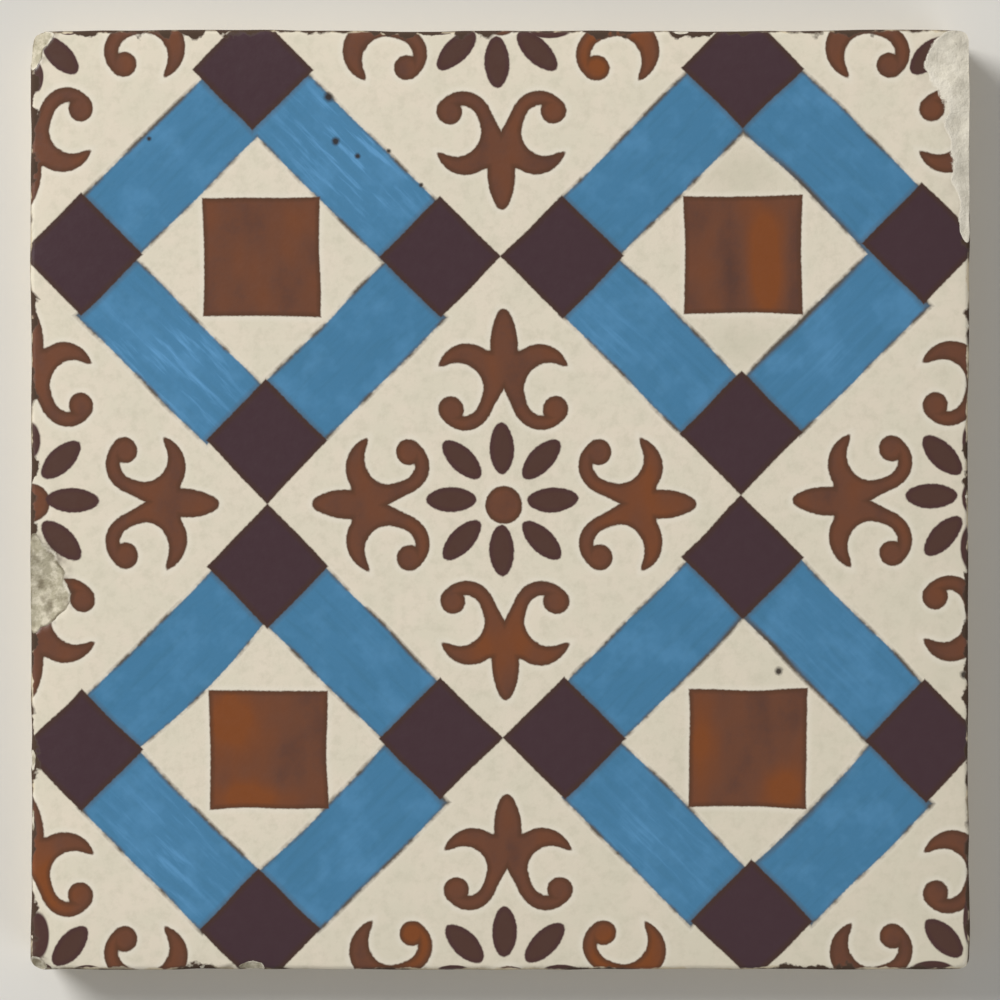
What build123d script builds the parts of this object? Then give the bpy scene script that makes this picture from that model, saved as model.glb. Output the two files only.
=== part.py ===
"""A square floor tile of fired clay, glazed on its face, with leaning sides, a keyed back and a knocked rim.

The tile lies on its back: z = 0 is the bed, and the glazed face is up. +Y is the top of the pattern.
"""

import os
from math import atan2, degrees, sqrt

from build123d import *

# Driving dimensions of the slab, in millimetres
face_side = 200.0  # side of the square face, which is the widest level
thickness = 14.0
undercut = 1.5  # each side leans in by this much from the face down to the back
corner_radius = 2.5  # plan radius of the four corners
face_arris = 1.2  # rounded edge of the glazed face
back_arris = 0.6  # lesser rounding of the back's edge

# Keying grooves in the back, which the bed of mortar grips
groove_count = 8
groove_pitch = 22.0
groove_width = 10.0  # at the back, where the groove is widest
groove_depth = 1.2
groove_draft = 35.0  # lean of the groove's walls, in degrees
groove_margin = 12.0  # plain border that the grooves leave round the back

# Flake off the left edge
left_flake_along = -18.0  # its middle, from the middle of the edge
left_flake_length = 17.0
left_flake_reach = 9.0  # how far it comes in over the face
left_flake_drop = 2.2  # how far it comes down the side

# Flake off the right edge, at its top, which takes the corner with it
right_flake_along = 92.0
right_flake_length = 30.0
right_flake_reach = 8.5
right_flake_drop = 1.6

# Shallower flake that runs on below it
lower_flake_along = 70.0
lower_flake_length = 28.0
lower_flake_reach = 4.2
lower_flake_drop = 1.2

# Top left corner, broken off on a slant
top_corner_turn = 153.0  # the way the break faces in plan, in degrees from +X
top_corner_length = 30.0
top_corner_reach = 6.0
top_corner_drop = 4.0

# Bottom left corner, worn off
low_corner_turn = 225.0
low_corner_length = 14.0
low_corner_reach = 3.0
low_corner_drop = 2.0

# Nick in the left edge, below its flake
left_nick_along = -55.0
left_nick_length = 5.0
left_nick_reach = 1.4
left_nick_drop = 1.4

# Nick in the bottom edge
bottom_nick_along = -53.0
bottom_nick_length = 6.0
bottom_nick_reach = 1.8
bottom_nick_drop = 1.6

half_side = face_side / 2
back_side = face_side - 2 * undercut
side_lean = degrees(atan2(undercut, thickness))


def knock(rim_x, rim_y, turn, length, reach, drop):
    """Cut a round-bottomed flake out of the rim of the part that is being built.

    The hollow is part of a sphere. On the face it is `length` long at the rim and comes in by `reach`, and it
    comes down the side by `drop`. `turn` is the way out of the tile at that spot, in degrees from +X.

    Half the length, squared, is the product of the near and far distances from the rim to the circle that
    the sphere draws on the face, and likewise on the side. That gives both circles and so the sphere.
    """
    half_chord_squared = (length / 2) ** 2
    outward = (half_chord_squared / reach - reach) / 2
    upward = (half_chord_squared / drop - drop) / 2
    radius = sqrt(half_chord_squared + outward**2 + upward**2)
    away = Vector(outward, 0, upward).rotate(Axis.Z, turn)
    with Locations(Vector(rim_x, rim_y, thickness) + away):
        Sphere(radius, mode=Mode.SUBTRACT)


with BuildPart() as floor_tile:
    # The slab, wider at the face than at the back
    with BuildSketch(Plane.XY.offset(thickness)):
        RectangleRounded(face_side, face_side, corner_radius)
    extrude(amount=-thickness, taper=side_lean)

    # The rounded rims of the face and the back
    fillet(floor_tile.faces().sort_by(Axis.Z)[-1].edges(), radius=face_arris)
    fillet(floor_tile.faces().sort_by(Axis.Z)[0].edges(), radius=back_arris)

    # Keying grooves, with rounded ends and leaning walls
    with BuildSketch(Plane.XY):
        with GridLocations(0, groove_pitch, 1, groove_count):
            SlotOverall(back_side - 2 * groove_margin, groove_width)
    extrude(amount=groove_depth, taper=groove_draft, mode=Mode.SUBTRACT)

    # Knocks round the rim
    knock(-half_side, left_flake_along, 180, left_flake_length, left_flake_reach, left_flake_drop)
    knock(half_side, right_flake_along, 0, right_flake_length, right_flake_reach, right_flake_drop)
    knock(half_side, lower_flake_along, 0, lower_flake_length, lower_flake_reach, lower_flake_drop)
    knock(-half_side, half_side, top_corner_turn, top_corner_length, top_corner_reach, top_corner_drop)
    knock(-half_side, -half_side, low_corner_turn, low_corner_length, low_corner_reach, low_corner_drop)
    knock(-half_side, left_nick_along, 180, left_nick_length, left_nick_reach, left_nick_drop)
    knock(bottom_nick_along, -half_side, 270, bottom_nick_length, bottom_nick_reach, bottom_nick_drop)

floor_tile.part.label = "floor_tile"

os.makedirs("parts", exist_ok=True)
export_step(floor_tile.part, "parts/floor_tile.step")
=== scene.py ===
from math import cos, pi, radians, sin, sqrt

import bpy
import numpy as np
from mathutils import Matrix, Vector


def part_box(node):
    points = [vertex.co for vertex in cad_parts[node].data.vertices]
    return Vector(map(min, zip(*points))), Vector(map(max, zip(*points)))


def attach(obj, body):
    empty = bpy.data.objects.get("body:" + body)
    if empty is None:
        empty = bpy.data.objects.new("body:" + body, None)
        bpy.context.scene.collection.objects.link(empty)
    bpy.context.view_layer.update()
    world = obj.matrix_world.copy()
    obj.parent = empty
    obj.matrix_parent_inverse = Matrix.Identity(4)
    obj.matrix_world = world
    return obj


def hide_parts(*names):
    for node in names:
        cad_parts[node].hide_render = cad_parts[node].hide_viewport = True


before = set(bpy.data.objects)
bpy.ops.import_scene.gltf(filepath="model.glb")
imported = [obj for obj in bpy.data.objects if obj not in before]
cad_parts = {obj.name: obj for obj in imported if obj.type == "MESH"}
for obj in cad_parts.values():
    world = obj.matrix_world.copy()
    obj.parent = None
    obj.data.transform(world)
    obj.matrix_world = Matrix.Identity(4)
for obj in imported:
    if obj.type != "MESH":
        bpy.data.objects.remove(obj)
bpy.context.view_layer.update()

# The floor tile: one slab of buff earthenware, pressed, fired, dipped in cream tin glaze on its face and
# painted through stencils before the second firing, so clay, glaze and colours are one piece.
# It lies on its keyed back. The sizes are in millimetres in the frame of the solid, with the face up.
MM = 0.001
high_corner = np.array(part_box("floor_tile")[1]) / MM
half_side = float(high_corner[0])  # the widest level, just under the rounded rim of the face
thickness = float(high_corner[2])
face_arris = 1.2  # radius of the glazed rim
back_arris = 0.6  # radius of the back's edge
undercut = 1.5  # the sides lean in by this much at the back
corner_radius = 2.5
groove_count = 8
groove_pitch = 22.0
groove_width = 10.0
groove_depth = 1.2
groove_wall = 0.84  # how far a groove's walls lean in on their way up
groove_margin = 12.0  # plain border that the grooves leave round the back
groove_half_length = half_side - undercut - groove_margin
groove_rows = (np.arange(groove_count) - (groove_count - 1) / 2) * groove_pitch

# The mesh is a grid over the face, loops of points over the rim and down the sides, and the same grid again,
# drawn in, over the back. Its lines are closer near the rim and at the walls and round ends of the grooves.
rim_width = 3.0  # strip of the face that belongs to the rim's loops
back_rim_width = 1.6  # strip of the back that does, inside its rounded edge
line_step = 1.6
rim_line_step, rim_line_strip = 0.5, 10.0  # the closer lines, and how wide a strip they fill
end_line_step, end_line_half = 0.8, 2.4  # at the grooves' ends, and half the width of their strip
least_gap = 0.12  # lines nearer to each other than this become one
face_reach = half_side - rim_width
back_scale = (half_side - undercut - back_arris - back_rim_width) / face_reach
end_place = (groove_half_length - end_line_half) / back_scale
end_combs = [(side * end_place, end_line_half, end_line_step) for side in (-1, 1)]
wall_combs = [((row + side * (groove_width - groove_wall) / 2) / back_scale, groove_wall / 2, groove_wall)
              for row in groove_rows for side in (-1, 1)]


def gathered_lines(combs):
    """Places of the grid's lines from -face_reach to face_reach: line_step apart in the middle,
    rim_line_step apart in the strips at both ends, and a comb at each (place, half width, step) in combs."""
    inner = face_reach - rim_line_strip
    middle = np.linspace(-inner, inner, round(2 * inner / line_step) + 1)
    strip = np.linspace(inner, face_reach, round(rim_line_strip / rim_line_step) + 1)
    teeth = [place + np.arange(-half, half + step / 2, step) for place, half, step in combs]
    lines = np.sort(np.concatenate([middle, strip, -strip, *teeth]))
    lines = lines[np.abs(lines) <= face_reach]
    return lines[np.append(True, np.diff(lines) > least_gap)]


x_lines, y_lines = gathered_lines(end_combs), gathered_lines(wall_combs)
grid_x, grid_y = (grid.ravel() for grid in np.meshgrid(x_lines, y_lines))
grid_index = np.arange(len(grid_x)).reshape(len(y_lines), len(x_lines))
perimeter = np.concatenate([
    grid_index[0, :-1], grid_index[:-1, -1], grid_index[-1, :0:-1], grid_index[:0:-1, 0]])

# The rim's profile, from the face over the glazed arris, down the leaning side and round to the back: how
# far each level is in from the widest one, and its height. Levels are closer as far down as the knocks go.
knocked_depth = 5.5
face_levels = [2.4, 1.8, face_arris]
face_turn = np.radians(np.linspace(10, 90, 6))
upper_side = np.linspace(thickness - face_arris, thickness - knocked_depth, 9)[1:]
side_levels = np.concatenate([upper_side, [6.0, 3.5, back_arris + 0.4]])
back_turn = np.radians(np.linspace(20, 90, 3))
back_level = undercut + back_arris + 1.0
profile_in = np.concatenate([
    face_levels, face_arris * (1 - np.sin(face_turn)), undercut * (1 - side_levels / thickness),
    undercut + back_arris * (1 - np.cos(back_turn)), [back_level]])
profile_z = np.concatenate([
    [thickness] * len(face_levels), thickness - face_arris * (1 - np.cos(face_turn)), side_levels,
    back_arris * (1 - np.sin(back_turn)), [0.0]])


def rounded_square(x, y, half, radius):
    """The points of a square's outline moved onto a square of that half side with rounded corners: each
    point is split into its nearest point on an inner square and an offset, which is made `radius` long."""
    scale = half / np.maximum(np.abs(x), np.abs(y))
    x, y = x * scale, y * scale
    inner_x, inner_y = np.clip(x, radius - half, half - radius), np.clip(y, radius - half, half - radius)
    away_x, away_y = x - inner_x, y - inner_y
    stretch = radius / np.hypot(away_x, away_y)
    return inner_x + away_x * stretch, inner_y + away_y * stretch


level_half = half_side - profile_in[:, None]
rim_x, rim_y = rounded_square(grid_x[perimeter], grid_y[perimeter], level_half, corner_radius)
rim_z = np.repeat(profile_z, len(perimeter))
x = np.concatenate([grid_x, rim_x.ravel(), grid_x * back_scale])
y = np.concatenate([grid_y, rim_y.ravel(), grid_y * back_scale])
z = np.concatenate([np.full(len(grid_x), thickness), rim_z, np.zeros(len(grid_x))])
back_start = len(grid_x) + len(rim_z)
on_back = np.arange(len(x)) >= back_start
from_rim = half_side - np.maximum(np.abs(x), np.abs(y))  # distance in from the rim, seen from above


def grid_quads(index):
    """The quads between neighbouring rows and columns of a grid of point numbers."""
    return np.stack([index[:-1, :-1], index[:-1, 1:], index[1:, 1:], index[1:, :-1]], -1).reshape(-1, 4)


loop_index = len(grid_x) + np.arange(len(rim_z)).reshape(rim_x.shape)
rim_loops = np.vstack([perimeter, loop_index, perimeter + back_start])
rim_loops = np.hstack([rim_loops, rim_loops[:, :1]])
quads = np.vstack([
    grid_quads(grid_index), grid_quads(rim_loops)[:, ::-1], grid_quads(grid_index + back_start)[:, ::-1]])

# Knocks out of the rim: a place on the rim, the way out of the tile there in degrees, then the length along
# the rim, the reach over the face and the drop down the side.
knocks = [
    (-half_side, -18.0, 180, 17.0, 9.0, 2.2),  # flake off the left edge
    (half_side, 92.0, 0, 30.0, 8.5, 1.6),  # flake off the right edge, at its top
    (half_side, 70.0, 0, 28.0, 4.2, 1.2),  # shallower flake that runs on below it
    (-half_side, half_side, 153, 30.0, 6.0, 4.0),  # top left corner, broken on a slant
    (-half_side, -half_side, 225, 14.0, 3.0, 2.0),  # bottom left corner, worn
    (-half_side, -55.0, 180, 5.0, 1.4, 1.4),  # nick in the left edge
    (-53.0, -half_side, 270, 6.0, 1.8, 1.6),  # nick in the bottom edge
    (-half_side, -9.5, 180, 4.5, 2.6, 1.0),  # small chips that break up the outlines of the flakes
    (-half_side, -26.0, 180, 5.0, 2.4, 1.2),
    (half_side, 80.0, 0, 8.0, 5.4, 0.9),
    (half_side, 57.0, 0, 5.0, 2.2, 0.8),
]
# Seeded nibbles all round the rim, in the same terms.
nibble_count = 70
nibble_reach = 96.0  # how far from the middle of an edge they come
nibbles = np.random.default_rng(11)
for nibble in range(nibble_count):
    edge, along = nibbles.integers(4), nibbles.uniform(-nibble_reach, nibble_reach)
    length, reach = nibbles.uniform(0.8, 3.2), nibbles.uniform(0.25, 0.8)
    rim_place = [(half_side, along), (along, half_side), (-half_side, along), (along, -half_side)][edge]
    knocks.append((*rim_place, 90 * edge, length, reach, reach * nibbles.uniform(0.7, 1.4)))


def value_noise(x, y, size, seed):
    """Smooth noise from 0 to 1: random heights on a seeded square lattice, `size` apart, eased from each one
    to the next. The lattice starts again after 128 steps."""
    side = 128
    lattice = np.random.default_rng(seed).random((side, side))
    u, v = x / size + side / 2, y / size + side / 2
    i, j = np.floor(u).astype(int), np.floor(v).astype(int)
    ease_u, ease_v = (t * t * (3 - 2 * t) for t in (u - i, v - j))
    i, j, next_i, next_j = (index % side for index in (i, j, i + 1, j + 1))
    near = lattice[i, j] * (1 - ease_u) + lattice[next_i, j] * ease_u
    far = lattice[i, next_j] * (1 - ease_u) + lattice[next_i, next_j] * ease_u
    return near * (1 - ease_v) + far * ease_v


# A knock is part of a sphere, and points inside it are pushed out to its surface. Half the length, squared,
# is the product of the near and far distances from the rim to the circle that the sphere draws on the face,
# and likewise on the side, which gives the sphere. Its radius is roughened, as broken clay is.
fine_break, fine_break_size = 0.4, 1.7
coarse_break, coarse_break_size = 1.4, 4.2
full_break_drop = 2.0  # a knock with a lesser drop is less rough
lost = np.full(len(x), -2.0)  # depth of glaze and clay that is gone, below nought where none is
for knock_x, knock_y, way, length, reach, drop in knocks:
    chord = (length / 2) ** 2
    outward, upward = (chord / reach - reach) / 2, (chord / drop - drop) / 2
    centre = np.array([knock_x + outward * cos(radians(way)), knock_y + outward * sin(radians(way)),
                       thickness + upward])
    rough = fine_break * (value_noise(x, y, fine_break_size, 21) - 0.5)
    rough = rough + coarse_break * (value_noise(x, y, coarse_break_size, 27) - 0.5)
    radius = sqrt(chord + outward**2 + upward**2) + rough * min(1.0, drop / full_break_drop)
    offset = np.stack([x, y, z]) - centre[:, None]
    distance = np.sqrt((offset**2).sum(0))
    lost = np.maximum(lost, radius - distance)
    push = np.where(distance < radius, radius / distance, 1.0)
    x, y, z = centre[:, None] + offset * push

# The face of a hand-made tile: cushioned towards the rim and gently rippled. Its rim is a little wavy, and
# the right edge is hollowed.
cushion_drop, cushion_width = 0.55, 16.0
slow_ripple, slow_ripple_size = 0.35, 38.0
fine_ripple, fine_ripple_size = 0.10, 9.0
slow_wave, slow_wave_size = 0.45, 70.0
fine_wave, fine_wave_size = 0.30, 7.0
bow_depth, bow_middle, bow_half_length = 0.25, -20.0, 70.0
upper = np.where(on_back, 0.0, np.clip(z / thickness, 0, 1) ** 3)
cushion = cushion_drop * np.clip(1 - from_rim / cushion_width, 0, 1) ** 2
ripple = slow_ripple * value_noise(x, y, slow_ripple_size, 3)
ripple = ripple + fine_ripple * value_noise(x, y, fine_ripple_size, 4)
wave = slow_wave * value_noise(x + 2 * y, y - 2 * x, slow_wave_size, 5)
wave = wave + fine_wave * value_noise(x, y, fine_wave_size, 6)
right_bow = bow_depth * np.clip(1 - ((y - bow_middle) / bow_half_length) ** 2, 0, 1) * (x > 0)
rim_share = np.clip(1 - from_rim / rim_width, 0, 1) * np.where(on_back, 0, 1)
x_share, y_share = np.abs(x) > half_side - rim_width, np.abs(y) > half_side - rim_width
x = x - np.sign(x) * (wave + right_bow) * rim_share * x_share
y = y - np.sign(y) * wave * rim_share * y_share
z = z - upper * (cushion + ripple)

# Keying grooves: straight channels with round ends, leaning walls and a flat bottom. Points of the back that
# lie near the top or the foot of a wall are first moved onto it, straight out from the groove's middle line.
groove_snap = 0.38  # how near that is
groove_y = ((y / groove_pitch + groove_count / 2) % 1 - 0.5) * groove_pitch
past_end = np.sign(x) * np.clip(np.abs(x) - (groove_half_length - groove_width / 2), 0, None)
from_line = np.maximum(np.hypot(groove_y, past_end), 1e-6)
groove_edge = groove_width / 2 - from_line
wall_line = np.where(groove_edge < groove_wall / 2, 0, groove_wall)
in_rows = on_back & (np.abs(y) < groove_count * groove_pitch / 2)
near_wall = in_rows & (np.abs(groove_edge - wall_line) < groove_snap)
move = np.where(near_wall, (groove_edge - wall_line) / from_line, 0)
x = x + past_end * move
y = y + groove_y * move
groove_edge = np.where(near_wall, wall_line, groove_edge)
z = z + np.where(in_rows, groove_depth * np.clip(groove_edge / groove_wall, 0, 1), 0)

tile_mesh = bpy.data.meshes.new("floor_tile_dressed")
tile_mesh.from_pydata((np.stack([x, y, z], -1) * MM).tolist(), [], quads.tolist())
tile_mesh.polygons.foreach_set("use_smooth", np.ones(len(quads), bool))
tile_mesh.set_sharp_from_angle(angle=radians(40))

# Where the stencils were laid. The brown and the purple-black have one each, which repeats every 102 mm and
# was set by eye, so it slipped by a millimetre or two. The slips are given across and up. Both lists start
# with the flowers, in three rows from the top left. The four rings follow in the same order: for the brown,
# the square in each, and for the purple-black, the top, right, bottom and left corner of each.
stencil_pitch = 102.0
half_pitch = stencil_pitch / 2
corner_way = 38.1  # from a ring's middle to the middles of its corners
steps = (-stencil_pitch, 0.0, stencil_pitch)
flowers_at = [(across, up) for up in steps[::-1] for across in steps]
rings_at = [(across, up) for up in (half_pitch, -half_pitch) for across in (-half_pitch, half_pitch)]
corners_at = [(ring_x + across * corner_way, ring_y + up * corner_way)
              for ring_x, ring_y in rings_at for across, up in ((0, 1), (1, 0), (0, -1), (-1, 0))]
brown_slips = [
    (2.4, 1.4), (0.2, 0.5), (0.5, 0.9),
    (2.7, -0.5), (0.8, -1.1), (1.2, -0.1),
    (2.4, -2.0), (1.6, -0.5), (1.2, -1.4),
    (0.5, 0.5), (0.5, 1.0), (2.0, -1.9), (1.5, -1.7),
]
dark_slips = [
    (0.5, 0.5), (-0.7, 1.6), (-3.4, 0.3),
    (0.5, 0.0), (0.3, 0.0), (0.2, 1.0),
    (2.7, -0.9), (1.0, -0.3), (0.4, 0.8),
    (-1.5, 2.0), (0.0, 0.5), (1.5, 0.0), (0.5, 1.0),
    (0.5, 2.5), (0.5, 3.5), (0.0, 1.5), (0.5, 0.5),
    (2.0, -1.5), (0.0, 0.5), (0.0, -2.0), (0.5, -2.0),
    (0.5, 0.5), (1.0, 0.0), (2.5, 0.0), (1.0, 0.5),
]
# The blue bands were brushed one by one: how far out from its ring's middle each lies, ring by ring, in the
# order upper right, upper left, lower right, lower left.
band_middle = 19.3  # across and up, from a ring's middle to the middle of a band
band_ways = ((1, 1), (-1, 1), (1, -1), (-1, -1))
bands_at = [(ring_x + across * band_middle, ring_y + up * band_middle)
            for ring_x, ring_y in rings_at for across, up in band_ways]
band_shifts = [
    -0.8, -0.2, 1.1, -0.2,
    1.7, 0.0, -0.8, -0.9,
    -0.1, -3.7, 1.6, 1.3,
    0.2, -1.1, 2.4, -0.7,
]
blue_slips = [(shift * across * sqrt(0.5), shift * up * sqrt(0.5))
              for shift, (across, up) in zip(band_shifts, band_ways * len(rings_at))]
brown_spread, dark_spread, blue_spread = 24.0, 16.0, 14.0  # how far from its place a slip is felt
wander_reach, wander_size = 0.5, 9.0  # the hand's slow wander along an edge


def settled(places, slips, spread, seed):
    """Place on the stencil under each point of the tile: the point, less the mean of the slips weighted by a
    bell of that spread round each slip's place, less a slow wander of the hand."""
    total, slipped = 1e-9, 0.0
    for (place_x, place_y), slip in zip(places, slips):
        weight = np.exp(-((x - place_x) ** 2 + (y - place_y) ** 2) / (2 * spread**2))
        total, slipped = total + weight, slipped + weight * np.array(slip)[:, None]
    wander = np.stack([value_noise(x, y, wander_size, seed), value_noise(x, y, wander_size, seed + 1)]) - 0.5
    on_stencil = np.stack([x, y]) - slipped / total - wander_reach * wander
    return np.vstack([on_stencil, np.zeros(len(x))]).T


# Marks of the hand and of wear, each an oval patch: place on the face, half width, half height, strength.
# Where the brush left the blue dry and streaked.
dry_patches = [
    (-30, 75, 20, 20, 1.3), (-69, 28, 20, 20, 1.1), (-71, -75, 20, 20, 0.9), (-75, 78, 16, 16, 0.35),
    (22, 34, 18, 18, 0.65), (70, 32, 18, 18, 0.5), (72, 78, 16, 16, 0.3), (68, -32, 18, 18, 0.5),
    (33, -75, 18, 18, 0.75), (-28, -30, 16, 16, 0.3), (-26, -76, 16, 16, 0.35), (24, 76, 14, 14, 0.25),
]
# Where the brown wash ran thin and shows orange, or below nought, where it lies thick.
thin_patches = [
    (56.0, 57, 4.6, 6, 0.7), (56.5, 44, 3.6, 7, 0.7), (56, 50, 2.8, 6, 0.3),  # top right square
    (48.5, 51, 2.5, 20, -0.25), (62.5, 51, 1.8, 20, -0.35),
    (-57, -47, 7, 8, 0.8), (-53, -63, 9, 3, 0.8), (-43, -54, 4, 12, -0.1),  # bottom left square
    (60, -61, 5, 4.5, 0.9), (42.5, -52, 3, 11, 0.6), (55, -48, 5, 8, -0.2),  # bottom right square
    (-44, 60, 6, 6, 0.12),  # top left square
    (24, 96, 6, 8, 1.0), (27, -97, 9, 7, 0.9), (-96, -82, 5, 7, 0.9), (-18, -93, 7, 7, 0.7),  # at the rim
    (30, -2, 9, 12, 0.35), (0, -30, 12, 7, 0.4), (-12, 33, 4, 4, 0.3), (12, 33, 4, 4, 0.3),  # middle flower
]
# Slivers of the petals and hubs of the flowers that the rim cuts through.
petal_slivers = [
    (-99.8, 12.6, 2.5, 4.0, 1), (-99.2, -8.7, 1.5, 1.3, 1), (-98.3, 89.7, 1.6, 3.2, 1),  # left edge
    (-98.0, -92.3, 2.5, 5.0, 1),
    (99.9, 12.4, 2.0, 4.2, 1), (99.9, 0.6, 2.1, 3.2, 1), (99.9, -10.0, 2.4, 4.8, 1),  # right edge
    (99.9, -89.0, 1.8, 5.6, 1),
    (-9.9, -99.7, 3.4, 1.2, 1), (2.8, -99.9, 1.8, 1.1, 1), (12.8, -99.7, 3.6, 1.3, 1),  # bottom edge
    (-87.4, -99.6, 2.6, 1.1, 1), (-96.4, -99.4, 1.3, 0.9, 1), (91.6, -99.3, 4.4, 1.7, 1),
    (-91.4, 99.3, 2.0, 0.8, 1), (-12.9, 99.6, 3.2, 1.1, 1), (10.5, 99.3, 4.2, 1.5, 1),  # top edge
]
# Where the cream is greyed, and where a dull outline shows through along the inner edge of the blue.
grey_patches = [(51, 69, 9, 6, 0.55), (51, 33, 8, 5, 0.5), (51, -83, 9, 6, 0.3)]
dull_line_patches = [
    (64, 65, 13, 13, 1.0), (64, 39, 13, 13, 1.0), (57, -31, 10, 10, 1.1), (63, -68, 11, 11, 0.7),
]


def patched(patches):
    """Strength of soft oval patches at each point, added up: each falls off as a bell with its half width
    and half height."""
    strength = np.zeros(len(x))
    for place_x, place_y, half_width, half_height, peak in patches:
        strength += peak * np.exp(-(((x - place_x) / half_width) ** 2) - ((y - place_y) / half_height) ** 2)
    return strength


# A darker line along the rim, in runs of a centimetre or so, with more of it at the top and the left.
run_size, dark_strip = 8.0, 6.0
runs = np.clip(4 * value_noise(x, y, run_size, 41) - 1.5, 0, 1)
rim_dark_runs = np.where(y > half_side - dark_strip, np.clip(runs + 0.35, 0, 1), 0.95 * runs)
rim_dark_runs = np.where(x < -half_side + dark_strip, np.clip(runs + 0.2, 0, 1), rim_dark_runs)

# All of this goes onto the mesh's points, for the material to read.
for attribute, values in [
    ("brown_place", settled(flowers_at + rings_at, brown_slips, brown_spread, 31)),
    ("dark_place", settled(flowers_at + corners_at, dark_slips, dark_spread, 33)),
    ("blue_place", settled(bands_at, blue_slips, blue_spread, 35)),
]:
    layer = tile_mesh.attributes.new(attribute, "FLOAT_VECTOR", "POINT")
    layer.data.foreach_set("vector", values.ravel())
for attribute, values in [
    ("lost", lost), ("from_rim", from_rim), ("rim_darkening", rim_dark_runs),
    ("dry_brush", patched(dry_patches)), ("thin_wash", patched(thin_patches)),
    ("rim_petals", patched(petal_slivers)), ("greyed", patched(grey_patches)),
    ("under_line", patched(dull_line_patches)),
]:
    layer = tile_mesh.attributes.new(attribute, "FLOAT", "POINT")
    layer.data.foreach_set("value", values)

tile = bpy.data.objects.new("floor_tile_dressed", tile_mesh)
bpy.context.scene.collection.objects.link(tile)
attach(tile, "root")
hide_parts("floor_tile")


def linear(hex_colour):
    """An sRGB hex colour as linear red, green, blue and alpha."""
    channels = [int(hex_colour[i:i + 2], 16) / 255 for i in (1, 3, 5)]
    return (*(c / 12.92 if c <= 0.04045 else ((c + 0.055) / 1.055) ** 2.4 for c in channels), 1.0)


def node(tree, kind, inputs=(), **settings):
    """Add one shader node with its settings, then fill its inputs, by place or by name: a node or a socket
    is linked, by its first output in use, and anything else is typed in."""
    made = tree.nodes.new("ShaderNode" + kind)
    for name, value in settings.items():
        setattr(made, name, value)
    if not isinstance(inputs, dict):
        open_places = [i for i, socket in enumerate(made.inputs) if socket.enabled]
        inputs = dict(zip(open_places, inputs))
    for place, value in inputs.items():
        if isinstance(value, bpy.types.Node):
            value = next(socket for socket in value.outputs if socket.enabled)
        if isinstance(value, bpy.types.NodeSocket):
            tree.links.new(value, made.inputs[place])
        else:
            made.inputs[place].default_value = value
    return made


# Tin-glazed earthenware: an opaque cream glaze, satin from wear, over a buff clay that is dull and gritty.
# The colours sink into the glaze in the kiln, so they share its skin and only their edges catch the eye.
cream, cream_warm = linear("#E0D7C1"), linear("#E5D9C4")
cream_grey, cream_pale = linear("#C9C2AB"), linear("#ECE4D3")
blue, blue_light, blue_deep = linear("#437CA1"), linear("#5F99C4"), linear("#3E7595")
purple_black, purple_brown = linear("#432C32"), linear("#452D1F")
petal_brown, petal_deep = linear("#51352B"), linear("#47292A")
brown, brown_orange, brown_deep = linear("#6C422D"), linear("#80451C"), linear("#5A392C")
fringe_brown, outline_brown = linear("#55493A"), linear("#51331E")
clay, clay_light, clay_dark = linear("#C9B896"), linear("#D8CAAE"), linear("#A39272")
chip_grey, chip_pale = linear("#ADA58D"), linear("#D3CAB4")
chip_fresh, chip_crack = linear("#F6EEDC"), linear("#6B5F48")
dark_brown, pit_dark = linear("#463324"), linear("#2E231B")

glaze = bpy.data.materials.new("stencilled_tin_glaze_on_buff_earthenware")
glaze.use_nodes = True
tree = glaze.node_tree
tree.nodes.clear()

# Places in millimetres. Stencil edges tremble by about a tenth of a millimetre at most.
tremble_size, tremble_reach = 0.8, 0.24
metres = node(tree, "TexCoord").outputs["Object"]
spot = node(tree, "VectorMath", [metres, (1 / MM,) * 3], operation="MULTIPLY")
spot_x, spot_y, spot_z = node(tree, "SeparateXYZ", [spot]).outputs
tremble = node(tree, "TexNoise", {"Vector": spot, "Scale": 1 / tremble_size, "Detail": 1.0},
               noise_dimensions="2D")
tremble = node(tree, "VectorMath", [tremble.outputs["Color"], (0.5,) * 3], operation="SUBTRACT")
tremble = node(tree, "VectorMath", {0: tremble, "Scale": tremble_reach}, operation="SCALE")

# Fold each stencil's repeat onto one eighth of itself: across is the lesser and along the greater distance.
folded = {}
for stencil in ("brown", "dark", "blue"):
    laid = node(tree, "Attribute", attribute_name=stencil + "_place").outputs["Vector"]
    shaken = node(tree, "VectorMath", [laid, tremble], operation="ADD")
    cell = node(tree, "VectorMath", [shaken, (half_pitch,) * 3, (-half_pitch,) * 3], operation="WRAP")
    cell = node(tree, "VectorMath", [cell], operation="ABSOLUTE")
    cell_x, cell_y, cell_z = node(tree, "SeparateXYZ", [cell]).outputs
    across = node(tree, "Math", [cell_x, cell_y], operation="MINIMUM")
    along = node(tree, "Math", [cell_x, cell_y], operation="MAXIMUM")
    folded[stencil] = across, along, node(tree, "CombineXYZ", [across, along, 0.0])

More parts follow.
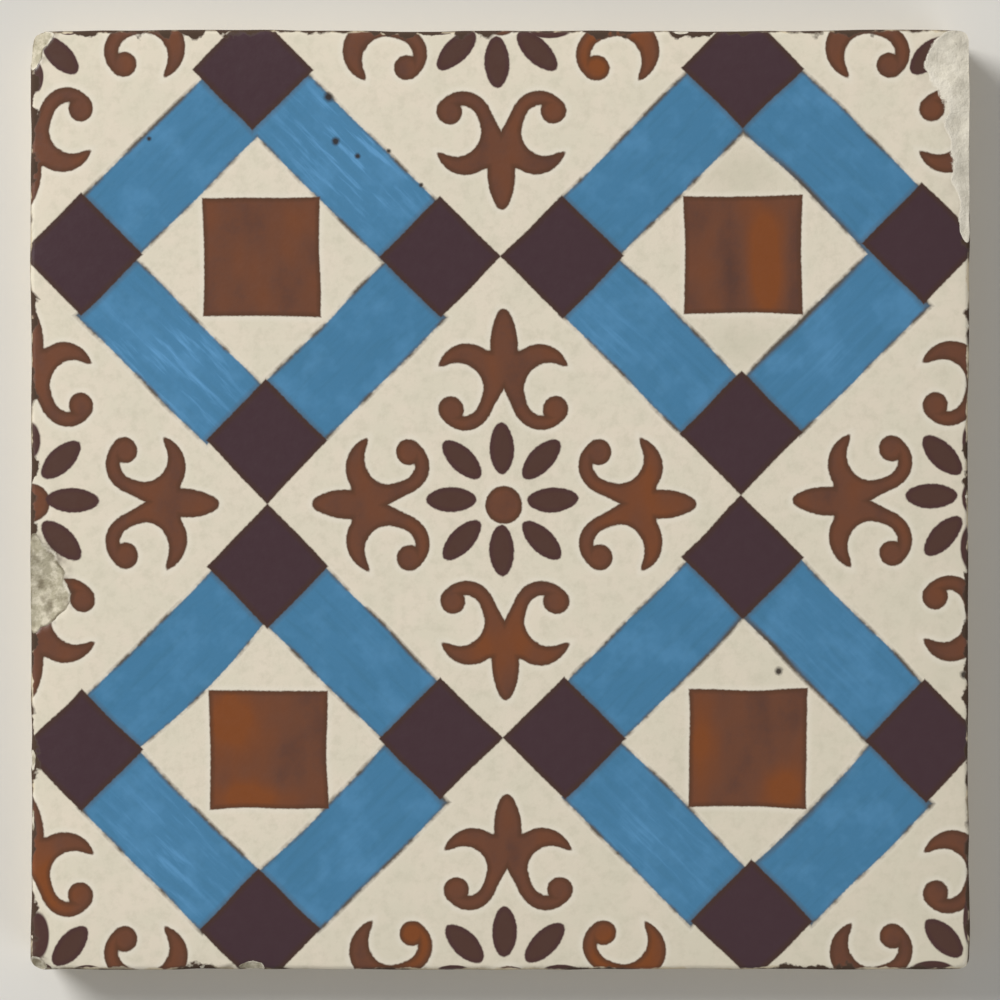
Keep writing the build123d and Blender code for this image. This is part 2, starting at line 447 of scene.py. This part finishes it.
# The flower's shapes, where across is the way from its axis and along is the way out from its middle.
# Round shapes are (across, along, radius), and almond shapes are (middle along, half length, half width).
hub = (0, 0, 4.0)
axis_petal = (10.8, 6.3, 2.65)
slant_petal = (12.0, 6.3, 2.6)
lily_lobe = (33.3, 8.8, 3.0)
almond_blunting = 0.87  # the almonds' points are rounded off at this share of their length
lily_hollow = (9.5, 24.4, 5.2)
lily_pocket = (7.8, 21.5, 2.2)
lily_arm = (7.5, 27.0, 6.6)
lily_arm_end = 28.8  # along, the underside of the arm's tip
lily_leg = (8.1, 21.7, 5.9)
lily_curl = (11.0, 20.2, 2.7)
lily_crotch, lily_spread = 24.4, 1.89  # along, where the two legs part, and how steeply they do
lily_waist, lily_foot, lily_top = 7.1, 18.95, 32.3  # its body: widest across, and lowest and highest along
hollow_blend, almond_blend, arm_blend, brown_blend = 2.5, 1.4, 1.0, 0.7  # roundings where outlines meet
square_half, square_flare = 12.4, 0.2  # the brown square in each ring, and how far its corners flare

# Distances to the flower's outlines, in millimetres, below nought inside. An almond is one arc on this side
# of its axis, whose middle lies beyond the axis, and its points are cut by a circle.
circles = {
    "hub": ("brown", *hub), "hollow": ("brown", *lily_hollow), "pocket": ("brown", *lily_pocket),
    "arm": ("brown", *lily_arm), "leg": ("brown", *lily_leg), "curl": ("brown", *lily_curl),
}
almonds = {
    "lobe": ("brown", lily_lobe, 0), "axis_petal": ("dark", axis_petal, 0),
    "slant_petal": ("dark", slant_petal, pi / 4),
}
for almond, (stencil, (middle, half_length, half_width), slant) in almonds.items():
    arc = (half_length**2 / half_width + half_width) / 2
    beyond = arc - half_width if slant else half_width - arc
    middle_across, middle_along = middle * sin(slant), middle * cos(slant)
    circles[almond] = (stencil, middle_across + beyond * cos(slant), middle_along - beyond * sin(slant), arc)
    circles[almond + "_end"] = (stencil, middle_across, middle_along, half_length * almond_blunting)
shape = {}
for circle, (stencil, round_across, round_along, radius) in circles.items():
    to_middle = node(tree, "VectorMath", [folded[stencil][2], (round_across, round_along, 0)],
                     operation="DISTANCE")
    shape[circle] = node(tree, "Math", [to_middle, radius], operation="SUBTRACT")
for almond in almonds:
    shape[almond] = node(tree, "Math", [shape[almond], shape[almond + "_end"], almond_blend],
                         operation="SMOOTH_MAX")
petals = node(tree, "Math", [shape["axis_petal"], shape["slant_petal"]], operation="MINIMUM")
sliver = node(tree, "Attribute", attribute_name="rim_petals").outputs["Fac"]
sliver = node(tree, "MapRange", [sliver, 0.12, 0.62, 0.7, -0.7])
petals = node(tree, "Math", [petals, sliver], operation="MINIMUM")

# The lily: a body between its foot, sides and top that parts into two legs, with the hollows cut out, and an
# arm and a leg that end in a tip and a curl.
across, along, point = folded["brown"]
hollow = node(tree, "Math", [shape["hollow"], shape["pocket"], hollow_blend], operation="SMOOTH_MIN")
not_hollow = node(tree, "Math", [0.0, hollow], operation="SUBTRACT")
body_side = node(tree, "Math", [across, lily_waist], operation="SUBTRACT")
body_foot = node(tree, "Math", [lily_foot, along], operation="SUBTRACT")
body_top = node(tree, "Math", [along, lily_top], operation="SUBTRACT")
crotch = node(tree, "Math", [across, lily_spread, along], operation="MULTIPLY_ADD")
crotch = node(tree, "Math", [lily_crotch, crotch], operation="SUBTRACT")
crotch = node(tree, "Math", [crotch, sqrt(1 + lily_spread**2)], operation="DIVIDE")
body = node(tree, "Math", [body_foot, crotch], operation="MAXIMUM")
for limit in (body_side, body_top, not_hollow):
    body = node(tree, "Math", [body, limit], operation="MAXIMUM")
arm_end = node(tree, "Math", [lily_arm_end, along], operation="SUBTRACT")
arm = node(tree, "Math", [shape["arm"], not_hollow], operation="MAXIMUM")
arm = node(tree, "Math", [arm, arm_end, arm_blend], operation="SMOOTH_MAX")
# The leg stops on the line from its circle's middle through the curl's, so that their outlines run on.
to_curl = np.array([lily_curl[0] - lily_leg[0], lily_curl[1] - lily_leg[1]])
past = np.array([-to_curl[1], to_curl[0]]) / np.hypot(*to_curl)
leg_end = node(tree, "VectorMath", [point, (*past, 0)], operation="DOT_PRODUCT")
leg_end = node(tree, "Math", [leg_end, float(past @ lily_leg[:2])], operation="SUBTRACT")
leg = node(tree, "Math", [shape["leg"], not_hollow], operation="MAXIMUM")
leg = node(tree, "Math", [leg, leg_end], operation="MAXIMUM")
flare = node(tree, "Math", [half_pitch, along], operation="SUBTRACT")
flare = node(tree, "Math", [flare, flare], operation="MULTIPLY")
square = node(tree, "Math", [half_pitch - square_half, across], operation="SUBTRACT")
square = node(tree, "Math", [flare, -square_flare / square_half**2, square], operation="MULTIPLY_ADD")
brown_shapes = body
for piece in (arm, leg, shape["curl"], shape["lobe"], shape["hub"], square):
    brown_shapes = node(tree, "Math", [brown_shapes, piece, brown_blend], operation="SMOOTH_MIN")

# Distances to the ring's outlines: blue bands between purple-black corners. A ring lies between an inner and
# an outer diamond, and the corners are where it is cut by the next diamond over. A diamond's size is the
# distance from the ring's middle along both axes, added up.
blue_ring = (26.3, 50.8)
dark_ring = (25.2, 51.1)
band_tuck = 0.8  # the bands run on under the corners by this much
ring_edges = {}
for stencil, (inner, outer) in (("blue", blue_ring), ("dark", dark_ring)):
    across, along, point = folded[stencil]
    both = node(tree, "Math", [across, along], operation="ADD")
    ring_way = node(tree, "Math", [stencil_pitch, both], operation="SUBTRACT")  # from the ring's middle
    inside = node(tree, "Math", [inner, ring_way], operation="SUBTRACT")
    outside = node(tree, "Math", [ring_way, outer], operation="SUBTRACT")
    ring_edges[stencil] = [node(tree, "Math", [edge, sqrt(0.5)], operation="MULTIPLY")
                           for edge in (inside, outside)]
across, along, point = folded["dark"]
into_corner = node(tree, "Math", [along, across], operation="SUBTRACT")
into_corner = node(tree, "Math", [into_corner, dark_ring[0]], operation="SUBTRACT")
into_corner = node(tree, "Math", [into_corner, sqrt(0.5)], operation="MULTIPLY")
off_corner = node(tree, "Math", [0.0, into_corner], operation="SUBTRACT")
corner = node(tree, "Math", ring_edges["dark"], operation="MAXIMUM")
corner = node(tree, "Math", [corner, off_corner], operation="MAXIMUM")
band_end = node(tree, "Math", [into_corner, band_tuck], operation="SUBTRACT")
band = node(tree, "Math", ring_edges["blue"], operation="MAXIMUM")
band = node(tree, "Math", [band, band_end], operation="MAXIMUM")
band_inside = ring_edges["blue"][0]

# The cream ground, mottled in patches of a centimetre, clouded in specks, greyed with painted shade towards
# the lower right, and paler close to the blue and the brown.
patch_size, speck_size, smudge_size = 9.0, 2.8, 6.0
patch = node(tree, "TexNoise", {"Vector": spot, "Scale": 1 / patch_size, "Detail": 3.0, "Roughness": 0.6},
             noise_dimensions="2D")
speck = node(tree, "TexNoise", {"Vector": spot, "Scale": 1 / speck_size, "Detail": 3.0, "Roughness": 0.7},
             noise_dimensions="2D")
smudge = node(tree, "TexNoise", {"Vector": spot, "Scale": 1 / smudge_size, "Detail": 3.0, "Roughness": 0.65})
warmth = node(tree, "MapRange", [patch, 0.35, 0.65, 0.0, 1.0])
cloud = node(tree, "MapRange", [speck, 0.46, 0.74, 0.0, 0.4])
ground = node(tree, "Mix", [warmth, cream, cream_warm], data_type="RGBA")
ground = node(tree, "Mix", [cloud, ground, cream_grey], data_type="RGBA")
# Painted shade: the cream greys from the middle towards the lower right corner, the side away from the lamp,
# and the greyed patches are added to it.
shade_and_greying = node(tree, "Math", [spot_x, spot_y], operation="SUBTRACT")
shade_and_greying = node(tree, "MapRange", [shade_and_greying, 20.0, 200.0, 0.0, 0.35])
greyed = node(tree, "Attribute", attribute_name="greyed").outputs["Fac"]
shade_and_greying = node(tree, "Math", [shade_and_greying, greyed], operation="ADD")
ground = node(tree, "Mix", [shade_and_greying, ground, cream_grey], data_type="RGBA")
halo = node(tree, "Math", [band, brown_shapes], operation="MINIMUM")
halo = node(tree, "MapRange", [halo, 1.3, 0.2, 0.0, 0.5])
ground = node(tree, "Mix", [halo, ground, cream_pale], data_type="RGBA")

# Blue: brushed along each band, so its streaks run in the bands' two directions. They show most where the
# brush was dry. The blue is duller along its inner edge in places, and where it meets a corner.
streak_length, streak_width = 15.0, 1.9
blue_laid = node(tree, "Attribute", attribute_name="blue_place").outputs["Vector"]
ring_cell = node(tree, "VectorMath", [blue_laid, (stencil_pitch,) * 3, (0,) * 3], operation="WRAP")
ring_cell = node(tree, "VectorMath", [ring_cell, (half_pitch,) * 3], operation="SUBTRACT")
ring_x, ring_y, ring_z = node(tree, "SeparateXYZ", [ring_cell]).outputs
same_sign = node(tree, "Math", [ring_x, ring_y], operation="MULTIPLY")
falls = node(tree, "Math", [same_sign, 0.0], operation="GREATER_THAN")
stroke_turn = node(tree, "MapRange", [falls, 0.0, 1.0, pi / 4, -pi / 4])
stroke_turn = node(tree, "CombineXYZ", [0.0, 0.0, stroke_turn])
stroke_size = (streak_length, streak_width, 1)
stroke = node(tree, "Mapping", {"Vector": spot, "Rotation": stroke_turn, "Scale": stroke_size},
              vector_type="TEXTURE")
streak = node(tree, "TexNoise", {"Vector": stroke, "Scale": 1.0, "Detail": 3.0, "Roughness": 0.6,
                                 "Distortion": 0.15}, noise_dimensions="2D")
dryness = node(tree, "Attribute", attribute_name="dry_brush").outputs["Fac"]
streak_light = node(tree, "MapRange", [streak, 0.53, 0.72, 0.0, 1.0])
streak_light = node(tree, "Math", [streak_light, dryness], operation="MULTIPLY")
streak_light = node(tree, "Math", [streak_light, dryness], operation="MULTIPLY")
streak_deep = node(tree, "MapRange", [streak, 0.5, 0.3, 0.1, 0.6])
blotch = node(tree, "MapRange", [patch, 0.48, 0.72, 0.0, 0.3])
blotch = node(tree, "Math", [dryness, 0.18, blotch], operation="MULTIPLY_ADD")
blue_tone = node(tree, "Mix", [streak_deep, blue, blue_deep], data_type="RGBA")
blue_tone = node(tree, "Mix", [blotch, blue_tone, blue_light], data_type="RGBA")
blue_tone = node(tree, "Mix", [streak_light, blue_tone, blue_light], data_type="RGBA")
dull_line = node(tree, "Attribute", attribute_name="under_line").outputs["Fac"]
dull_edge = node(tree, "MapRange", [band_inside, -1.4, -0.5, 0.0, 0.9])
dull_line = node(tree, "Math", [dull_line, dull_edge], operation="MULTIPLY")
blue_tone = node(tree, "Mix", [dull_line, blue_tone, fringe_brown], data_type="RGBA")
end_shade = node(tree, "MapRange", [into_corner, -1.2, 0.0, 0.0, 0.45])
blue_tone = node(tree, "Mix", [end_shade, blue_tone, fringe_brown], data_type="RGBA")

# Purple-black: thin and browner at the edges of the corners, and browner all over in the petals.
corner_edge = node(tree, "MapRange", [corner, -1.5, -0.2, 0.0, 0.85])
corner_tone = node(tree, "Mix", [corner_edge, purple_black, purple_brown], data_type="RGBA")
petal_edge = node(tree, "MapRange", [petals, -1.2, -0.2, 0.0, 0.7])
petal_tone = node(tree, "Mix", [petal_edge, petal_brown, petal_deep], data_type="RGBA")

# Brown: a watery wash that runs thin and orange in places and gathers darker at its edge.
wash_width, wash_height = 6.0, 11.0
wash_run = node(tree, "Mapping", {"Vector": spot, "Scale": (1 / wash_width, 1 / wash_height, 1)})
wash = node(tree, "TexNoise", {"Vector": wash_run, "Scale": 1.0, "Detail": 1.0}, noise_dimensions="2D")
thinness = node(tree, "Attribute", attribute_name="thin_wash").outputs["Fac"]
thinness = node(tree, "Math", [wash, 0.6, thinness], operation="MULTIPLY_ADD")
wash_thin = node(tree, "MapRange", [thinness, 0.3, 0.9, 0.0, 1.0])
thinness = node(tree, "Math", [speck, -0.35, thinness], operation="MULTIPLY_ADD")
wash_thick = node(tree, "MapRange", [thinness, 0.12, -0.2, 0.0, 1.0])
brown_edge = node(tree, "MapRange", [brown_shapes, -1.2, -0.15, 0.0, 0.8])
brown_tone = node(tree, "Mix", [wash_thin, brown, brown_orange], data_type="RGBA")
brown_tone = node(tree, "Mix", [wash_thick, brown_tone, brown_deep], data_type="RGBA")
brown_tone = node(tree, "Mix", [brown_edge, brown_tone, outline_brown], data_type="RGBA")

# Lay the colours in the order they were brushed on. A thin dull line, broken along its length, is left where
# the blue ends on the cream.
soft_edge = 0.22  # half the width over which a colour's edge fades
band_cover, corner_cover, brown_cover, petal_cover = (
    node(tree, "MapRange", [outline, soft_edge, -soft_edge, 0.0, 1.0], interpolation_type="SMOOTHSTEP")
    for outline in (band, corner, brown_shapes, petals))
fringe = node(tree, "Math", [band], operation="ABSOLUTE")
fringe = node(tree, "MapRange", [fringe, 0.75, 0.1, 0.0, 0.9])
fringe_break = node(tree, "MapRange", [smudge, 0.4, 0.6, 0.15, 1.0])
fringe = node(tree, "Math", [fringe, fringe_break], operation="MULTIPLY")
painted = ground
for cover, colour in [
    (band_cover, blue_tone), (fringe, fringe_brown), (corner_cover, corner_tone), (brown_cover, brown_tone),
    (petal_cover, petal_tone),
]:
    painted = node(tree, "Mix", [cover, painted, colour], data_type="RGBA")

# Pin holes and burnt specks in the glaze, filled with dirt: place on the face and radius.
pits = [
    (-36.3, 85.3, 1.7), (-34.8, 76.0, 1.4), (-30.2, 72.8, 1.0), (59.0, -36.2, 1.4), (-74.3, 76.5, 0.9),
    (98.3, -37.0, 1.4), (-23.6, 73.9, 0.9), (-16.7, 66.7, 0.8),
]
flat_spot = node(tree, "VectorMath", [spot, (1, 1, 0)], operation="MULTIPLY")
pit = 0.0
for pit_x, pit_y, radius in pits:
    hole = node(tree, "VectorMath", [flat_spot, (pit_x, pit_y, 0)], operation="DISTANCE")
    hole = node(tree, "MapRange", [hole, radius, 0.0, 0.0, 1.0])
    pit = node(tree, "Math", [pit, hole], operation="MAXIMUM")
pit = node(tree, "Math", [speck, 0.5, pit], operation="MULTIPLY_ADD")
pit_dirt = node(tree, "MapRange", [pit, 0.45, 0.95, 0.0, 0.95])
painted = node(tree, "Mix", [pit_dirt, painted, pit_dark], data_type="RGBA")

# Where the glaze ends: worn off the rim in places, gone from the knocks with a ragged edge, and stopped in a
# wavy line on the sides. The rim is darkened in runs.
blob_size, grit_size = 4.5, 1.1
blob = node(tree, "TexNoise", {"Vector": spot, "Scale": 1 / blob_size, "Detail": 3.0, "Roughness": 0.55},
            noise_dimensions="2D")
grit = node(tree, "TexNoise", {"Vector": spot, "Scale": 1 / grit_size, "Detail": 3.0, "Roughness": 0.7})
rim_way = node(tree, "Attribute", attribute_name="from_rim").outputs["Fac"]
worn = node(tree, "MapRange", [smudge, 0.35, 0.7, -0.2, 1.0])
worn = node(tree, "Math", [worn, rim_way], operation="SUBTRACT")
worn = node(tree, "MapRange", [worn, -0.15, 0.2, 0.0, 1.0])
drip = node(tree, "MapRange", [smudge, 0.3, 0.7, thickness - 4.2, thickness - 1.2])
unglazed = node(tree, "Math", [drip, spot_z], operation="SUBTRACT")
unglazed = node(tree, "MapRange", [unglazed, -0.15, 0.15, 0.0, 1.0])
unglazed = node(tree, "Math", [unglazed, worn], operation="MAXIMUM")
# The rim darkens in runs, up to about two and a half millimetres in from its edge and only near the face.
run_darkening = node(tree, "Attribute", attribute_name="rim_darkening").outputs["Fac"]
rim_darkening = node(tree, "MapRange", [blob, 0.38, 0.68, 0.3, 2.4])
rim_darkening = node(tree, "Math", [rim_darkening, run_darkening], operation="MULTIPLY")
rim_darkening = node(tree, "Math", [rim_darkening, rim_way], operation="SUBTRACT")
rim_darkening = node(tree, "MapRange", [rim_darkening, -0.3, 0.3, 0.0, 1.0])
high_up = node(tree, "MapRange", [spot_z, thickness - 3.0, thickness - 2.0, 0.0, 1.0])
rim_darkening = node(tree, "Math", [rim_darkening, high_up], operation="MULTIPLY")
depth_lost = node(tree, "Attribute", attribute_name="lost").outputs["Fac"]
ragged = node(tree, "MapRange", [grit, 0.3, 0.7, -0.07, 0.07])
ragged = node(tree, "Math", [ragged, depth_lost], operation="ADD")
bare = node(tree, "MapRange", [ragged, -0.06, 0.06, 0.0, 1.0])

# Bare clay: buff, cloudy and gritty on the sides and the back. In the knocks it is pale and fresh at the
# right of the tile, and grey, dirty and stained at the left. The glaze round a knock ends in a pale or
# cracked lip.
clay_patch = node(tree, "MapRange", [smudge, 0.35, 0.65, 0.0, 1.0])
clay_grit = node(tree, "MapRange", [grit, 0.55, 0.75, 0.0, 0.8])
clay_tone = node(tree, "Mix", [clay_patch, clay, clay_light], data_type="RGBA")
clay_tone = node(tree, "Mix", [clay_grit, clay_tone, clay_dark], data_type="RGBA")
fresh = node(tree, "MapRange", [spot_x, -60.0, 60.0, 0.0, 0.8])
aged = node(tree, "Math", [1.0, fresh], operation="SUBTRACT")
chip_patch = node(tree, "MapRange", [speck, 0.36, 0.58, 0.1, 1.0])
chip_patch = node(tree, "Math", [chip_patch, aged], operation="MULTIPLY")
chip_dirt = node(tree, "MapRange", [blob, 0.48, 0.66, 0.0, 0.75])
chip_dirt = node(tree, "Math", [chip_dirt, aged], operation="MULTIPLY")
lip = node(tree, "Math", [ragged, 0.15], operation="SUBTRACT")
lip = node(tree, "Math", [lip], operation="ABSOLUTE")
lip = node(tree, "MapRange", [lip, 0.3, 0.05, 0.0, 0.6])
lip_side = node(tree, "Math", [smudge, fresh], operation="ADD")
lip_side = node(tree, "MapRange", [lip_side, 0.5, 0.62, 0.0, 1.0])
lip_tone = node(tree, "Mix", [lip_side, chip_crack, cream_pale], data_type="RGBA")
chip_tone = node(tree, "Mix", [fresh, chip_pale, chip_fresh], data_type="RGBA")
chip_tone = node(tree, "Mix", [chip_patch, chip_tone, chip_grey], data_type="RGBA")
chip_tone = node(tree, "Mix", [chip_dirt, chip_tone, chip_crack], data_type="RGBA")
chip_tone = node(tree, "Mix", [lip, chip_tone, lip_tone], data_type="RGBA")
stain = node(tree, "MapRange", [smudge, 0.45, 0.65, 0.0, 1.0])
stain = node(tree, "Math", [stain, aged], operation="MULTIPLY")
stain_reach = node(tree, "MapRange", [depth_lost, -0.9, 0.0, 0.0, 0.8])
stain = node(tree, "Math", [stain_reach, stain], operation="MULTIPLY")
surface = node(tree, "Mix", [unglazed, painted, clay_tone], data_type="RGBA")
surface = node(tree, "Mix", [stain, surface, dark_brown], data_type="RGBA")
surface = node(tree, "Mix", [rim_darkening, surface, dark_brown], data_type="RGBA")
surface = node(tree, "Mix", [bare, surface, chip_tone], data_type="RGBA")

# Shine and fine relief: the glaze is satin with an orange-peel skin, and the clay and the darkened rim are
# dull.
skin_size = 0.9
clay_roughness = 0.92
dull = node(tree, "Math", [unglazed, bare], operation="MAXIMUM")
dull = node(tree, "Math", [dull, rim_darkening], operation="MAXIMUM")
satin = node(tree, "MapRange", [speck, 0.2, 0.8, 0.28, 0.4])
roughness = node(tree, "Mix", [dull, satin, clay_roughness], data_type="FLOAT")
skin = node(tree, "TexNoise", {"Vector": spot, "Scale": 1 / skin_size, "Detail": 2.0, "Roughness": 0.6})
knocked = node(tree, "MapRange", [depth_lost, -0.05, 0.1, 0.03, 0.2])
below_glaze = node(tree, "MapRange", [spot_z, thickness - 1.5, thickness - 3.0, 0.03, 0.3])
skin_depth = node(tree, "Math", [knocked, below_glaze], operation="MAXIMUM")
relief = node(tree, "Math", [skin, skin_depth], operation="MULTIPLY")
bump = node(tree, "Bump", {"Strength": 1.0, "Distance": MM, "Height": relief})
shader = node(tree, "BsdfPrincipled",
              {"Base Color": surface, "Roughness": roughness, "Normal": bump, "IOR": 1.5})
node(tree, "OutputMaterial", {"Surface": shader})
tile_mesh.materials.append(glaze)

# The studio: a plain floor in pale matt paint that the tile lies on and that takes a soft shadow, a large
# soft lamp up and to the left, as in the photograph, a weaker one opposite, and an even pale sky. Its sizes
# are in metres.
floor_half = 3
floor_corners = [(floor_half * side_x, floor_half * side_y, 0)
                 for side_x, side_y in ((-1, -1), (1, -1), (1, 1), (-1, 1))]
floor_mesh = bpy.data.meshes.new("studio_floor")
floor_mesh.from_pydata(floor_corners, [], [(0, 1, 2, 3)])
floor = bpy.data.objects.new("studio_floor", floor_mesh)
bpy.context.scene.collection.objects.link(floor)
pale = bpy.data.materials.new("pale_matt_floor")
pale.use_nodes = True
floor_shader = pale.node_tree.nodes["Principled BSDF"]
floor_shader.inputs["Base Color"].default_value = linear("#DDDAD3")
floor_shader.inputs["Roughness"].default_value = 0.9
floor_mesh.materials.append(pale)

for lamp_name, lamp_place, lamp_size, watts in [
    ("key", (-1.5, 1.2, 1.35), 1.2, 55.0), ("fill", (1.7, -1.3, 1.1), 1.6, 14.0),
]:
    lamp = bpy.data.lights.new(lamp_name, "AREA")
    lamp.shape, lamp.size, lamp.energy = "DISK", lamp_size, watts
    lamp_object = bpy.data.objects.new(lamp_name, lamp)
    lamp_object.location = lamp_place
    aim = np.array(lamp_place) / np.linalg.norm(lamp_place)
    lamp_object.rotation_euler = (np.arccos(aim[2]), 0, np.arctan2(aim[0], -aim[1]))
    bpy.context.scene.collection.objects.link(lamp_object)

sky = bpy.data.worlds.new("pale_sky")
sky.use_nodes = True
sky.node_tree.nodes["Background"].inputs["Color"].default_value = linear("#F4F5F7")
sky.node_tree.nodes["Background"].inputs["Strength"].default_value = 0.3
bpy.context.scene.world = sky

# The camera looks straight down from far off, as the photograph was taken, with the tile nearly filling the
# frame. Its lens and sensor are in millimetres.
frame_share = 1.06  # side of the frame, in sides of the tile
frame_side = 2 * half_side * MM * frame_share
lens, sensor = 200.0, 36.0
camera_data = bpy.data.cameras.new("camera")
camera_data.lens, camera_data.sensor_width, camera_data.clip_end = lens, sensor, 20.0
camera = bpy.data.objects.new("camera", camera_data)
camera.location = (0, 0, thickness * MM + frame_side * lens / sensor)
bpy.context.scene.collection.objects.link(camera)
bpy.context.scene.camera = camera
bpy.context.scene.view_settings.view_transform = "Standard"
